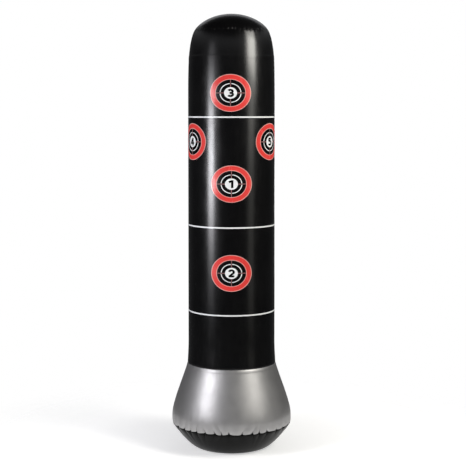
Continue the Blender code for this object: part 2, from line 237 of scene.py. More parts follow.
def grid_faces(rows, columns, start=0, wrap=True, flip=False, block=None):
    """Quads of a grid of vertices that is stored row by row. block (row, column, reach) stays open."""
    faces = []
    middle_row, middle_column, reach = block or (0, 0, 0)
    for row in range(rows - 1):
        in_rows = middle_row - reach <= row < middle_row + reach
        for column in range(columns if wrap else columns - 1):
            if in_rows and middle_column - reach <= column < middle_column + reach:
                continue
            following = (column + 1) % columns
            a = start + row * columns + column
            b = start + row * columns + following
            quad = (a, b, b + columns, a + columns)
            faces.append(quad[::-1] if flip else quad)
    return faces


# Rows of quads over which the grid round a hole goes back to its plain spacing
HOLE_BLEND = 6


class Hole:
    """A round hole on the back of a sheet. The rows and columns of the sheet's grid run round it."""

    def __init__(self, line, turns, valve, steps):
        along = running_length(line)
        height = valve["axes"].translation.z
        girth = np.interp(height, line[:, 1], line[:, 0])
        up = along[:, None] - np.interp(height, line[:, 1], along)
        side = apart(turns, BACK)[None, :] * girth
        self.row = np.abs(up[:, 0]).argmin()
        self.column = np.abs(side[0]).argmin()
        self.steps = steps
        row_gap = np.abs(np.arange(len(line)) - self.row)
        column_gap = np.abs(np.arange(len(turns)) - self.column)
        ring = np.maximum(row_gap[:, None], column_gap)
        reach = np.hypot(side, up)
        share = step(ring, steps + HOLE_BLEND / 2, HOLE_BLEND)
        wanted = valve["hole"] * (1 - share) + reach * share
        scale = np.where(ring >= steps, wanted / np.maximum(reach, 1e-9), 1.0)
        moved = along[:, None] + up * (scale - 1)
        self.reach = reach * scale
        self.radius = np.interp(moved, along, line[:, 0])
        self.height = np.interp(moved, along, line[:, 1])
        self.turns = BACK + side * scale / girth

    def edge(self, columns):
        """Vertex numbers round the hole, anticlockwise from outside, in a grid with that many columns."""
        low, high = -self.steps, self.steps
        corners = [(low, low), (low, high), (high, high), (high, low), (low, low)]
        around = []
        for (row, column), (next_row, next_column) in zip(corners, corners[1:]):
            for part in range(2 * self.steps):
                share = part / (2 * self.steps)
                at_row = self.row + round(row + (next_row - row) * share)
                at_column = self.column + round(column + (next_column - column) * share)
                around.append(at_row * columns + at_column)
        return around


WELD_WIDTH = 0.0035
WELD_HEIGHT = 0.0003
DENT_MARGIN = 0.024
DENT_EASE = 0.040


def valve_dent(hole, valve):
    """Relief that draws the skin in to the valve's flange, with the weld that holds the flange."""
    height = valve["axes"].translation.z
    gap = np.interp(height, OUTLINE[:, 1], OUTLINE[:, 0]) - valve["axes"].translation.y
    flange = valve["flange"]
    weld = step(hole.reach, flange - WELD_WIDTH, 0.0010) - step(hole.reach, flange, 0.0014)
    return WELD_HEIGHT * weld - gap * (1 - step(hole.reach, flange + DENT_MARGIN, DENT_EASE))


def skin_points(line, turns, relief, depth, normals=None, hole=None):
    """Grid of points on the outline, moved out by the relief and in by depth."""
    normals = outward(line) if normals is None else normals
    out, up = relief
    radius, height = line[:, 0:1], line[:, 1:2]
    if hole:
        radius, height, turns = hole.radius, hole.height, hole.turns
    radius = radius + normals[:, 0:1] * (out - depth)
    height = height + normals[:, 1:2] * (out - depth) + up
    x = radius * np.cos(turns)
    y = radius * np.sin(turns)
    return np.stack((x, y, np.broadcast_to(height, x.shape)), axis=-1)


def make_sheet(name, line, turns, relief, material, pole=None, normals=None, hole=None):
    """A sheet of vinyl with its real thickness. pole says which end closes on the axis."""
    columns = len(turns)
    keep = slice(1, None) if pole == "bottom" else slice(None, -1) if pole == "top" else slice(None)
    block = (hole.row, hole.column, hole.steps) if hole else None
    vertices = []
    faces = []
    for depth, flip in ((0.0, False), (SHEET, True)):
        grid = skin_points(line, turns, relief, depth, normals, hole)[keep]
        start = len(vertices)
        vertices += list(grid.reshape(-1, 3))
        rows = len(grid)
        faces += grid_faces(rows, columns, start, flip=flip, block=block)
        if pole:
            height = line[0, 1] + depth if pole == "bottom" else line[-1, 1] - depth
            vertices.append((0.0, 0.0, height))
            ring = start if pole == "bottom" else start + (rows - 1) * columns
            for column in range(columns):
                fan = (len(vertices) - 1, ring + (column + 1) % columns, ring + column)
                faces.append(fan[::-1] if flip == (pole == "bottom") else fan)
    layer = rows * columns + bool(pole)
    edges = []
    if pole != "bottom":
        edges.append(list(range(columns))[::-1])
    if pole != "top":
        edges.append(list(range((rows - 1) * columns, rows * columns)))
    if hole:
        edges.append(hole.edge(columns))
    for edge in edges:
        for a, b in zip(edge, edge[1:] + edge[:1]):
            faces.append((a, b, b + layer, a + layer))
    return new_object(name, vertices, faces, [material])


# ---------------------------------------------------------------- materials

def map_range(tree, value, limits):
    """A Map Range node. limits is (from min, from max, to min, to max)."""
    node = tree.nodes.new("ShaderNodeMapRange")
    tree.links.new(value, node.inputs["Value"])
    for name, limit in zip(("From Min", "From Max", "To Min", "To Max"), limits):
        node.inputs[name].default_value = limit
    return node


class Nodes:
    """Short calls for building one material's nodes."""

    def __init__(self, name):
        self.material = bpy.data.materials.new(name)
        self.material.use_nodes = True
        self.tree = self.material.node_tree
        self.shader = self.tree.nodes["Principled BSDF"]
        self.place = self.tree.nodes.new("ShaderNodeTexCoord").outputs["Object"]

    def link(self, output, socket):
        self.tree.links.new(output, socket)

    def noise(self, scale, detail=3.0, roughness=0.5, stretch=(1.0, 1.0, 1.0), kind="noise"):
        mapping = self.tree.nodes.new("ShaderNodeMapping")
        mapping.inputs["Scale"].default_value = stretch
        self.link(self.place, mapping.inputs["Vector"])
        if kind == "voronoi":
            texture = self.tree.nodes.new("ShaderNodeTexVoronoi")
            texture.inputs["Scale"].default_value = scale
            self.link(mapping.outputs[0], texture.inputs["Vector"])
            return texture.outputs["Distance"]
        texture = self.tree.nodes.new("ShaderNodeTexNoise")
        texture.inputs["Scale"].default_value = scale
        texture.inputs["Detail"].default_value = detail
        texture.inputs["Roughness"].default_value = roughness
        self.link(mapping.outputs[0], texture.inputs["Vector"])
        return texture.outputs["Fac"]

    def ranged(self, value, *limits):
        return map_range(self.tree, value, limits).outputs["Result"]

    def math(self, operation, first, second):
        node = self.tree.nodes.new("ShaderNodeMath")
        node.operation = operation
        for socket, value in zip(node.inputs, (first, second)):
            if isinstance(value, float):
                socket.default_value = value
            else:
                self.link(value, socket)
        return node.outputs[0]

    def colours(self, value, stops):
        ramp = self.tree.nodes.new("ShaderNodeValToRGB")
        elements = ramp.color_ramp.elements
        while len(elements) < len(stops):
            elements.new(0.5)
        for element, (position, colour) in zip(elements, stops):
            element.position = position
            element.color = (*colour, 1.0)
        self.link(value, ramp.inputs["Fac"])
        return ramp.outputs["Color"]

    def height(self):
        split = self.tree.nodes.new("ShaderNodeSeparateXYZ")
        self.link(self.place, split.inputs[0])
        return split.outputs["Z"]

    def bump(self, *layers):
        """Stacks bumps, each (value, distance in metres, strength)."""
        normal = None
        for value, distance, strength in layers:
            node = self.tree.nodes.new("ShaderNodeBump")
            node.inputs["Distance"].default_value = distance
            node.inputs["Strength"].default_value = strength
            self.link(value, node.inputs["Height"])
            if normal is not None:
                self.link(normal, node.inputs["Normal"])
            normal = node.outputs["Normal"]
        self.link(normal, self.shader.inputs["Normal"])

    def set(self, **values):
        for name, value in values.items():
            socket = self.shader.inputs[name.replace("_", " ")]
            if isinstance(value, (int, float, tuple)):
                socket.default_value = value
            else:
                self.link(value, socket)
        return self.material


def grey(value):
    return (value, value, value)


def vinyl(name, dark, pale, roughness=(0.20, 0.30)):
    """Glossy printed sheet: an even colour with faint clouding, handling marks and orange peel."""
    n = Nodes(name)
    marks = n.noise(60.0, 6.0, 0.62, (1.0, 1.0, 0.35))
    n.bump((n.noise(22.0, 2.0), 0.0006, 0.20), (n.noise(900.0, 2.0), 0.00004, 0.15))
    return n.set(
        Base_Color=n.colours(n.noise(9.0, 4.0), [(0.3, dark), (0.75, pale)]),
        Roughness=n.ranged(marks, 0.35, 0.72, *roughness),
        IOR=1.53,
        Specular_IOR_Level=0.5,
    )


def even(name, grain, clouds, dark, pale, marks, roughness, **more):
    """An evenly coloured material with a fine grain, faint clouding and some variation in gloss.

    grain is a bump's (noise scale, distance, strength), clouds a noise scale, marks a noise's settings.
    """
    n = Nodes(name)
    scale, distance, strength = grain
    n.bump((n.noise(scale, 2.0), distance, strength))
    return n.set(
        Base_Color=n.colours(n.noise(clouds), [(0.3, dark), (0.8, pale)]),
        Roughness=n.ranged(n.noise(*marks), 0.3, 0.7, *roughness),
        **more,
    )


def make_materials():
    """Every material of the scene's pieces, by name."""
    vinyls = {
        "black_vinyl": ((0.0020, 0.0020, 0.0023), (0.0040, 0.0039, 0.0042), (0.20, 0.27)),
        "white_ink": ((0.92, 0.93, 0.94), (0.96, 0.97, 0.98)),
        "red_ink": ((0.80, 0.052, 0.046), (0.88, 0.068, 0.060)),
        "pale_ink": ((0.80, 0.40, 0.36), (0.88, 0.46, 0.42)),
        "tick_ink": ((0.36, 0.17, 0.17), (0.42, 0.20, 0.20)),
        "numeral_ink": (grey(0.004), grey(0.007)),
    }
    made = {name: vinyl(name, *look) for name, look in vinyls.items()}
    made |= {
        "inner_vinyl": even(
            "inner_vinyl", (700.0, 0.00005, 0.4), 20.0, grey(0.024), grey(0.038), (70.0,), (0.40, 0.55)
        ),
        "water": even(
            "water", (12.0, 0.001, 0.2), 6.0, (0.60, 0.78, 0.84), (0.72, 0.86, 0.90), (30.0,), (0.03, 0.07),
            Transmission_Weight=0.8, IOR=1.33,
        ),
        "valve_plastic": even(
            "valve_plastic", (2200.0, 0.00005, 0.5), 90.0, grey(0.014), grey(0.024), (160.0, 5.0),
            (0.28, 0.44),
        ),
        "leash_rubber": even(
            "leash_rubber", (1600.0, 0.00006, 0.5), 120.0, grey(0.020), grey(0.034), (200.0, 4.0),
            (0.48, 0.62),
        ),
        "seal_rubber": even(
            "seal_rubber", (1500.0, 0.00004, 0.4), 150.0, (0.42, 0.42, 0.40), (0.52, 0.52, 0.50),
            (200.0, 4.0), (0.38, 0.52), Subsurface_Weight=0.15,
        ),
    }

    n = Nodes("silver_vinyl")
    flakes = n.noise(2600.0, kind="voronoi")
    cloud = n.noise(14.0, 4.0)
    smudge = n.noise(45.0, 5.0, 0.6)
    tone = n.math("ADD", n.ranged(flakes, 0.0, 0.9, -0.12, 0.12), cloud)
    n.bump((n.noise(18.0, 2.0), 0.0008, 0.3), (flakes, 0.00003, 0.25))
    made["silver_vinyl"] = n.set(
        Base_Color=n.colours(tone, [(0.25, (0.358, 0.353, 0.353)), (0.8, (0.420, 0.414, 0.414))]),
        Metallic=0.88,
        Roughness=n.ranged(smudge, 0.3, 0.75, 0.44, 0.52),
    )

    n = Nodes("base_vinyl")
    scuffs = n.noise(120.0, 6.0, 0.7, (1.0, 1.0, 3.0))
    low_down = n.ranged(n.height(), 0.0, 0.03, 0.03, 0.0)
    dust = n.math("ADD", n.ranged(scuffs, 0.50, 0.80, 0.0, 0.30), low_down)
    n.bump((n.noise(16.0, 2.0), 0.0008, 0.3), (n.noise(1400.0, 2.0), 0.00005, 0.4))
    made["base_vinyl"] = n.set(
        Base_Color=n.colours(dust, [(0.0, grey(0.0020)), (1.0, (0.022, 0.022, 0.021))]),
        Roughness=n.ranged(scuffs, 0.3, 0.8, 0.26, 0.40),
        Specular_IOR_Level=0.07,
    )
    return made


INK = make_materials()


# ---------------------------------------------------------------- relief of the skin

def step(value, edge, width):
    """0 below the edge, 1 above it, with a smooth rise of the given width."""
    t = np.clip((value - edge) / width + 0.5, 0.0, 1.0)
    return t * t * (3 - 2 * t)


def apart(turns, angle):
    """Signed angle from one direction to each of the turns."""
    return np.angle(np.exp(1j * (turns - angle)))


class Pleats:
    """Pillows that an inflated seam gathers in the sheets beside it, with creases between them."""

    def __init__(self, count, jitter, crowding, crowded_at, seed):
        rng = np.random.default_rng(seed)
        widths = rng.uniform(1 - jitter, 1 + jitter, count)
        spots = np.linspace(-math.pi, math.pi, count)
        widths *= 1 - crowding * np.cos(spots - crowded_at)
        edges = np.concatenate(([0.0], np.cumsum(widths)))
        self.edges = edges / edges[-1] * math.tau - math.pi
        self.depths = rng.uniform(0.25, 1.0, count)
        self.reaches = rng.uniform(0.40, 1.40, count)
        self.leans = rng.uniform(-0.45, 0.45, count)
        self.swells = rng.uniform(0.40, 1.30, count)
        self.tilts = rng.uniform(-0.5, 0.5, count)

    def columns(self, radius, fine, coarse):
        """Angles with close steps at the creases and wide steps between them."""
        near = np.array([0.2, 0.6, 1.1, 1.7, 2.5, 3.6]) * fine / radius
        turns = []
        for low, high in zip(self.edges[:-1], self.edges[1:]):
            inner = np.arange(low + near[-1], high - near[-1], coarse / radius)[1:]
            turns += [*(low + near), *inner, *(high - near[::-1])]
        return np.array(turns)

    def shape(self, turns, away, radius, reach, half_width):
        """At each distance from the seam and each angle: the swelling, of either sign, and the crease."""
        away = np.asarray(away, dtype=float)[:, None]
        count = len(self.depths)
        lean = np.interp(turns, self.edges, np.append(self.leans, self.leans[0]))
        phase = np.interp(turns - lean * away / radius, self.edges, np.arange(count + 1.0))
        phase = np.clip(phase, 0.0, count - 1e-9)
        lobe = phase.astype(int)
        part = phase - lobe
        crease = np.where(part < 0.5, lobe, (lobe + 1) % count)
        width = np.diff(self.edges)[lobe] * radius
        across = np.minimum(part, 1 - part) * width
        sharp = np.exp(-away / (0.5 * reach))
        pillow = sharp * (1 - (2 * part - 1) ** 4) + (1 - sharp) * (0.5 - 0.5 * np.cos(math.tau * part))
        pillow = (pillow - 0.6) * self.swells[lobe] + sharp * self.tilts[lobe] * (2 * part - 1)
        left = np.clip(1 - away / (reach * self.reaches[crease]), 0.0, 1.0)
        wedge = np.clip(1 - across / (half_width * (0.15 + 0.85 * left)), 0.0, 1.0)
        return pillow, self.depths[crease] * wedge**1.2 * left**0.8


# ---------------------------------------------------------------- the black column

VALVE_WINDOW = (BACK, 0.22, 47)
LAP_SEAM = math.radians(128)
LAP_HEIGHT = 0.0005
FOOT_TUCK = 0.0009
CROWN_TUCK = 0.0007
COLUMN_TURNS = azimuths(168, [VALVE_WINDOW, (LAP_SEAM, 0.06, 25)])


def back_lap(turns, line):
    """Relief of the sheet's upright lap weld on the back: one edge stands on the other."""
    arc = apart(turns, LAP_SEAM) * line[:, 0:1]
    return LAP_HEIGHT * step(arc, -LAP / 2, 0.0008) * (1 - step(arc, LAP / 2, 0.006))


def make_column():
    """Neck sleeves and column wall. The foot is tucked into the skirt, the top under the shoulder."""
    black = INK["black_vinyl"]
    tuck = stretch(SEAM["neck"] - LAP, SEAM["neck"] + 0.0006, 0.002)
    tuck = tuck - outward(tuck) * FOOT_TUCK
    lower = np.vstack((tuck, stretch(SEAM["neck"] + 0.0032, SLEEVE_SPLIT, 0.005)))
    upper = stretch(SLEEVE_SPLIT, SLEEVE_END, 0.005)
    valve_height = AIR_VALVE["axes"].translation.z
    wall = stretch(SLEEVE_END, SEAM["crown"] - 0.0007, 0.010, [(valve_height, 0.032, 0.0016)])
    under = stretch(SEAM["crown"] - 0.0002, SEAM["crown"] + LAP, 0.002)
    wall = np.vstack((wall, under - outward(under) * CROWN_TUCK))
    hole = Hole(wall, COLUMN_TURNS, AIR_VALVE, 8)

    def relief(line):
        return back_lap(COLUMN_TURNS, line), 0.0

    sleeve_lower = make_sheet("sleeve_lower_skin", lower, COLUMN_TURNS, relief(lower), black)
    sleeve_upper = make_sheet("sleeve_upper_skin", upper, COLUMN_TURNS, relief(upper), black)
    wall_relief = (back_lap(COLUMN_TURNS, wall) + valve_dent(hole, AIR_VALVE), 0.0)
    column = make_sheet("column_skin", wall, COLUMN_TURNS, wall_relief, black, hole=hole)
    for piece, node in (
        (sleeve_lower, "neck_sleeve_lower"),
        (sleeve_upper, "neck_sleeve_upper"),
        (column, "column_wall"),
    ):
        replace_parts(piece, node)
    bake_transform(sleeve_lower)
    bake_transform(sleeve_upper)
    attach(column, "column")


PUCKER_REACH = 0.010
PUCKER_SWELL = 0.0011
PUCKER_DEPTH = 0.0024
PUCKER_HALF_WIDTH = 0.0016
CAP_SEAM_DIP = 0.0006
CROWN_WELD_HEIGHT = 0.00045


def make_top():
    """The shoulder panel and the round top, with the puckers of the seam between them."""
    black = INK["black_vinyl"]
    radius = OUTLINE[OUTLINE[:, 1].searchsorted(SEAM["cap"]), 0]
    puckers = Pleats(54, 0.35, 0.0, 0.0, 11)
    turns = puckers.columns(radius, 0.0006, 0.0026)
    crown_line = stretch(
        SEAM["crown"], SEAM["cap"], 0.006,
        [(SEAM["crown"], 0.016, 0.0010), (SEAM["cap"], 0.024, 0.0010)],
    )
    dome_line = stretch(SEAM["cap"], SEAM["apex"], 0.006, [(SEAM["cap"], 0.024, 0.0010)])
    tilt = outward(crown_line)[-1] + outward(dome_line)[0]
    tilt = tilt / np.hypot(*tilt)
    for name, line, node, pole in (
        ("shoulder_skin", crown_line, "shoulder_panel", None),
        ("dome_skin", dome_line, "top_cap", "top"),
    ):
        along = running_length(line)
        away = along if pole else along[-1] - along
        pillow, crease = puckers.shape(turns, away, radius, PUCKER_REACH, PUCKER_HALF_WIDTH)
        fade = np.exp(-away / 0.009)[:, None]
        dip = CAP_SEAM_DIP * np.exp(-away / 0.003)[:, None]
        out = PUCKER_SWELL * pillow * fade - PUCKER_DEPTH * crease - dip
        if pole is None:
            out = out + CROWN_WELD_HEIGHT * (1 - step(line[:, 1:2], SEAM["crown"] + LAP, 0.0016))
        lean = np.exp(-away / 0.006)[:, None]
        normals = outward(line) * (1 - lean) + tilt * lean
        piece = make_sheet(name, line, turns, (out, 0.0), black, pole, normals)
        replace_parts(piece, node)
        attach(piece, "column")


# ---------------------------------------------------------------- the base

PLEAT_SWELL = 0.0042
PLEAT_DEPTH = 0.0048
PLEAT_HALF_WIDTH = 0.0026
FILLER_WINDOW = 0.172
FILLER_TURNS = BACK + np.linspace(-0.17, 0.17, 49)
PUFF = 0.0014
NECK_BAND = 0.0004
NECK_RIDGE = 0.0002
NECK_EDGE = 0.0014


def make_base():
    """The silver skirt and the black underside, gathered into pleats where they are welded."""
    pleats = Pleats(35, 0.34, 0.14, FRONT + 0.9, 5)
    rim = SEAM["rim"]
    filler_height = FILLER["axes"].translation.z
    skirt = stretch(
        rim, SEAM["neck"], 0.006,
        [(rim, 0.034, 0.0012), (filler_height, 0.036, 0.0020), (SEAM["neck"], 0.018, 0.0010)],
    )
    dish = stretch(0.0, rim, 0.006, [(rim, 0.050, 0.0014)])
    radius = skirt[0, 0]
    turns = pleats.columns(radius, 0.0008, 0.0024)
    turns = turns[np.abs(apart(turns, BACK)) > FILLER_WINDOW]
    turns = np.sort(np.append(turns, FILLER_TURNS))
    tilt = outward(skirt)[0] + outward(dish)[-1]
    tilt = tilt / np.hypot(*tilt)
    filler_hole = Hole(skirt, turns, FILLER, 10)
    for name, line, node, slot, reach, share, hole, pole in (
        ("skirt_skin", skirt, "base_skirt", "silver_vinyl", 0.0200, 1.0, filler_hole, None),
        ("underside_skin", dish, "base_bottom", "base_vinyl", 0.0260, 0.6, None, "bottom"),
    ):
        along = running_length(line)
        away = along[-1] - along if pole else along
        pillow, crease = pleats.shape(turns, away, radius, reach, PLEAT_HALF_WIDTH)
        fade = np.exp(-away / (0.9 * reach))[:, None]
        puff = (away / 0.010 * np.exp(1 - away / 0.010))[:, None]
        near = share + (1 - share) * np.exp(-away / 0.004)[:, None]
        out = (PLEAT_SWELL * pillow * fade - PLEAT_DEPTH * crease) * near + PUFF * puff
        if pole:
            out = out * step(line[:, 1:2], 0.006, 0.010)
        else:
            below_neck = SEAM["neck"] - line[:, 1:2]
            out = out + valve_dent(hole, FILLER)
            out = out + NECK_BAND * step(-below_neck, -LAP, 0.0015)
            out = out + NECK_RIDGE * np.exp(-(((below_neck - 0.0065) / 0.0014) ** 2))
            out = out - NECK_EDGE * np.exp(-((below_neck / 0.0016) ** 1.5))
        up = (0.0050 * crease - 0.0030 * pillow) * np.exp(-away / 0.009)[:, None]
        lean = np.exp(-away / 0.010)[:, None]
        normals = outward(line) * (1 - lean) + tilt * lean
        piece = make_sheet(name, line, turns, (out, up), INK[slot], pole, normals, hole)
        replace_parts(piece, node)
        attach(piece, "base")


def make_water():
    """The water inside the base, level on top and clear of the pleats."""
    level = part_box("water_ballast")[1].z
    side = stretch(0.0, level, 0.010)
    clear = 0.0015 + 0.0075 * step(side[:, 1:2], 0.030, 0.040)
    side = side - outward(side) * clear
    side[0, 0] = 0.0
    side[-1, 1] = level
    turns = azimuths(96)
    grid = skin_points(side, turns, (0.0, 0.0), 0.0)[1:]
    rows, columns = grid.shape[:2]
    vertices = list(grid.reshape(-1, 3)) + [(0.0, 0.0, side[0, 1]), (0.0, 0.0, level)]
    faces = grid_faces(rows, columns)
    for column in range(columns):
        following = (column + 1) % columns
        faces.append((len(vertices) - 2, following, column))
        last = (rows - 1) * columns
        faces.append((len(vertices) - 1, last + column, last + following))
    water = new_object("water", vertices, faces, [INK["water"]])
    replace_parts(water, "water_ballast")
    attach(water, "base")


# ---------------------------------------------------------------- printing

# A target's radius round the column and up it. Its bands are shares of that radius.
TARGET_ARC = 0.0756
TARGET_HEIGHT = 0.0662
BANDS = [
    (0.000, 0.305, "white_ink"),
    (0.474, 0.514, "white_ink"),
    (0.708, 0.738, "pale_ink"),
    (0.738, 0.968, "red_ink"),
    (0.968, 1.000, "pale_ink"),
]
TICK = (0.305, 0.708)
TICK_WIDTH = 0.0021
RING_GAP = 0.0024
NUMERAL_HEIGHT = 0.42
NUMERAL_STRETCH = 1.22
STROKE = 0.245

# Each target's numeral, its angle from the front in degrees, and its height
TARGETS = [
    ("3", -1.2, 1.311),
    ("4", -62.2, 1.1375),
    ("5", 60.4, 1.1375),
    ("1", 0.0, 0.989),
    ("2", 0.0, 0.669),
]

# Each printed line's height, its body, and the body above it where the line bends
LINES = [(0.515, "neck", "column"), (0.832, "column", None), (1.226, "column", None)]
LINE_WIDTH = 0.0050


def on_target(middle, x, y, lift):
    """Wraps a target's own (x, y), in units of its radius, onto the column."""
    turn, height = middle[0], middle[1] + y * TARGET_HEIGHT
    radius = np.interp(height, OUTLINE[:, 1], OUTLINE[:, 0])
    turn += x * TARGET_ARC / radius
    radius += lift
    return (radius * math.cos(turn), radius * math.sin(turn), height)


def add_patch(points, columns, vertices, faces, indices, index):
    """Adds a grid of points, with that many in each row, as faces of one ink."""
    start = len(vertices)
    vertices += points
    quads = grid_faces(len(points) // columns, columns, start, wrap=False)
    faces += quads
    indices += [index] * len(quads)


def bow(x, y, wide, high, start, end):
    """Points on part of an ellipse, with angles in degrees."""
    angles = np.radians(np.linspace(start, end, 25))
    return [(x + wide * math.cos(a), y + high * math.sin(a)) for a in angles]


def straight(start, end, count=8):
    """Points on a straight stroke."""
    return [tuple(p) for p in np.linspace(start, end, count)]


# Centre lines of the strokes of each numeral, in units of its height.
STROKES = {
    "1": [straight((0.08, -0.5), (0.08, 0.5)), straight((-0.27, 0.24), (0.05, 0.40))],
    "2": [
        bow(0.0, 0.165, 0.245, 0.23, 168, -38) + straight((0.13, -0.04), (-0.20, -0.36)),
        straight((-0.31, -0.395), (0.31, -0.395)),
    ],
    "3": [
        bow(-0.01, 0.195, 0.225, 0.20, 152, -90) + [(-0.09, -0.005)],
        [(-0.09, -0.005)] + bow(-0.01, -0.190, 0.255, 0.205, 90, -152),
    ],
    "4": [
        straight((0.13, -0.5), (0.13, 0.5)),
        straight((0.08, 0.41), (-0.25, -0.14)),
        straight((-0.36, -0.19), (0.36, -0.19), 12),
    ],
    "5": [
        straight((-0.28, 0.395), (0.26, 0.395)),
        straight((-0.185, 0.42), (-0.215, 0.04)),
        bow(-0.02, -0.145, 0.265, 0.25, 128, -152),
    ],
}


def stroke_edges(path):
    """The two sides of a stroke of even width, as alternating points along its path."""
    path = np.array(path)
    along = np.gradient(path, axis=0)
    along = along / np.hypot(along[:, 0], along[:, 1])[:, None]
    side = np.column_stack((-along[:, 1], along[:, 0])) * STROKE / 2
    return np.stack((path - side, path + side), axis=1).reshape(-1, 2)


def make_target(numeral, offset, height):
    """One printed target: rings, cross-hair ticks and numeral."""
    inks = ["white_ink", "red_ink", "pale_ink", "tick_ink", "numeral_ink"]
    middle = (FRONT + math.radians(offset), height)
    vertices, faces, indices = [], [], []
    for inner, outer, ink in BANDS:
        gap = RING_GAP / TARGET_HEIGHT / inner if ink == "white_ink" and inner > 0.0 else 0.0
        rows = np.linspace(max(inner, 0.004), outer, 5 if inner == 0.0 else 3)
        for quarter in range(4):
            start = quarter * math.pi / 2 + gap
            angles = np.linspace(start, start + math.pi / 2 - 2 * gap, 25)
            points = [
                on_target(middle, r * math.cos(a), r * math.sin(a), LIFT) for r in rows for a in angles
            ]
            add_patch(points, len(angles), vertices, faces, indices, inks.index(ink))
    half = TICK_WIDTH / 2
    for quarter in range(4):
        turn = quarter * math.pi / 2
        points = []
        for r in np.linspace(*TICK, 6):
            for side in (half, -half):
                x = r * math.cos(turn) + math.sin(turn) * side / TARGET_ARC
                y = r * math.sin(turn) - math.cos(turn) * side / TARGET_HEIGHT
                points.append(on_target(middle, x, y, LIFT))
        add_patch(points, 2, vertices, faces, indices, inks.index("tick_ink"))
    squeeze = TARGET_HEIGHT / TARGET_ARC
    for layer, path in enumerate(STROKES[numeral]):
        lift = (2.0 + 0.25 * layer) * LIFT
        points = [
            on_target(middle, x * NUMERAL_HEIGHT * NUMERAL_STRETCH * squeeze, y * NUMERAL_HEIGHT, lift)
            for x, y in stroke_edges(path)
        ]
        add_patch(points, 2, vertices, faces, indices, inks.index("numeral_ink"))
    print_ = new_object(f"target_{numeral}", vertices, faces, [INK[i] for i in inks], indices)
    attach(print_, "column")


def make_line(number, height, body, next_body):
    """One printed line round the column."""
    heights = np.linspace(height - LINE_WIDTH / 2, height + LINE_WIDTH / 2, 4)
    line = np.column_stack((np.interp(heights, OUTLINE[:, 1], OUTLINE[:, 0]), heights))
    relief = (back_lap(COLUMN_TURNS, line) + LIFT, 0.0)
    grid = skin_points(line, COLUMN_TURNS, relief, 0.0)
    faces = grid_faces(len(heights), len(COLUMN_TURNS))
    ring = new_object(f"line_{number}", list(grid.reshape(-1, 3)), faces, [INK["white_ink"]])
    if next_body:
        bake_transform(ring)
    else:
        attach(ring, body)


# ---------------------------------------------------------------- valves

CAP_RIBS = 30
AIR_CAP_RIBS = 20
INSERT_RIBS = 28
STRAP_WIDTH = 0.0050
STRAP_THICKNESS = 0.0012
RING_WIDTH = 0.0042
STRAP_LOOP = 0.022


def eased(loop, ease=0.00025):
    """A section with its corners rounded. Its points are (radius, height) or (radius, height, rib)."""
    rounded = []
    for before, point, after in zip(loop[-1:] + loop[:-1], loop, loop[1:] + loop[:1]):
        if point[0] == 0.0:
            rounded.append(point)
            continue
        here = Vector(point[:2])
        arms = [Vector(other[:2]) - here for other in (before, after)]
        ends = [here + arm * min(0.4, ease / arm.length) for arm in arms]
        middle = here * 0.5 + (ends[0] + ends[1]) * 0.25
        rounded += [(*place, *point[2:]) for place in (ends[0], middle, ends[1])]
    return rounded


def turned(name, loop, axes, slot, body, ribs=0):
    """A piece turned about a valve's axis. Points with a third value carry ribs of that depth."""
    count = 6 * ribs or 60
    turns = np.arange(count) * math.tau / count
    valley = (0.5 - 0.5 * np.cos(ribs * turns)) ** 1.5
    vertices = []
    rings = []
    for radius, height, *rib in loop:
        rings.append(range(len(vertices), len(vertices) + (count if radius > 0.0 else 1)))
        reach = radius - rib[0] * valley if rib else np.full(len(rings[-1]), radius)
        for turn, distance in zip(turns, reach):
            vertices.append(axes @ Vector((distance * math.cos(turn), distance * math.sin(turn), height)))
    faces = []
    for ring, following in zip(rings, rings[1:] + rings[:1]):
        if len(ring) == len(following) == 1:
            continue
        for i in range(count):
            corners = (
                ring[i % len(ring)],
                ring[(i + 1) % len(ring)],
                following[(i + 1) % len(following)],
                following[i % len(following)],
            )
            faces.append(tuple(dict.fromkeys(corners)))
    made = new_object(name, vertices, faces, [INK[slot]])
    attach(made, body)
    return made


def washer(inner, bottom):
    """Section of a leash's flat ring."""
    outer = inner + RING_WIDTH
    top = bottom + STRAP_THICKNESS
    return eased([(inner, bottom), (outer, bottom), (outer, top), (inner, top)])


def leash(valve, name, start, end, drop):
    """The strap of a leash, from its neck ring to its cap ring: (distance, height) on the valve's axes."""
    path = cubic(start, end, (STRAP_LOOP, -drop), (-STRAP_LOOP, -drop), 32)
    along = np.gradient(path, axis=0)
    along = along / np.hypot(along[:, 0], along[:, 1])[:, None]
    normal = np.column_stack((-along[:, 1], along[:, 0]))
    half = np.array([STRAP_WIDTH, STRAP_THICKNESS]) / 2
    corners = [(x * half[0], y * half[1]) for x, y in ((-1, -1), (1, -1), (1, 1), (-1, 1))]
    section = eased(corners, 0.0003)
    vertices = []
    for (distance, height), (out, rise) in zip(path, normal):
        for x, y in section:
            vertices.append(valve["axes"] @ Vector((x, -distance - out * y, height + rise * y)))
    count = len(section)
    faces = grid_faces(len(path), count)
    faces += [tuple(range(count))[::-1], tuple(range(len(vertices) - count, len(vertices)))]
    strap = new_object(name, vertices, faces, [INK["leash_rubber"]])
    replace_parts(strap, name.replace("_strap", "_leash"))
    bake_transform(strap)


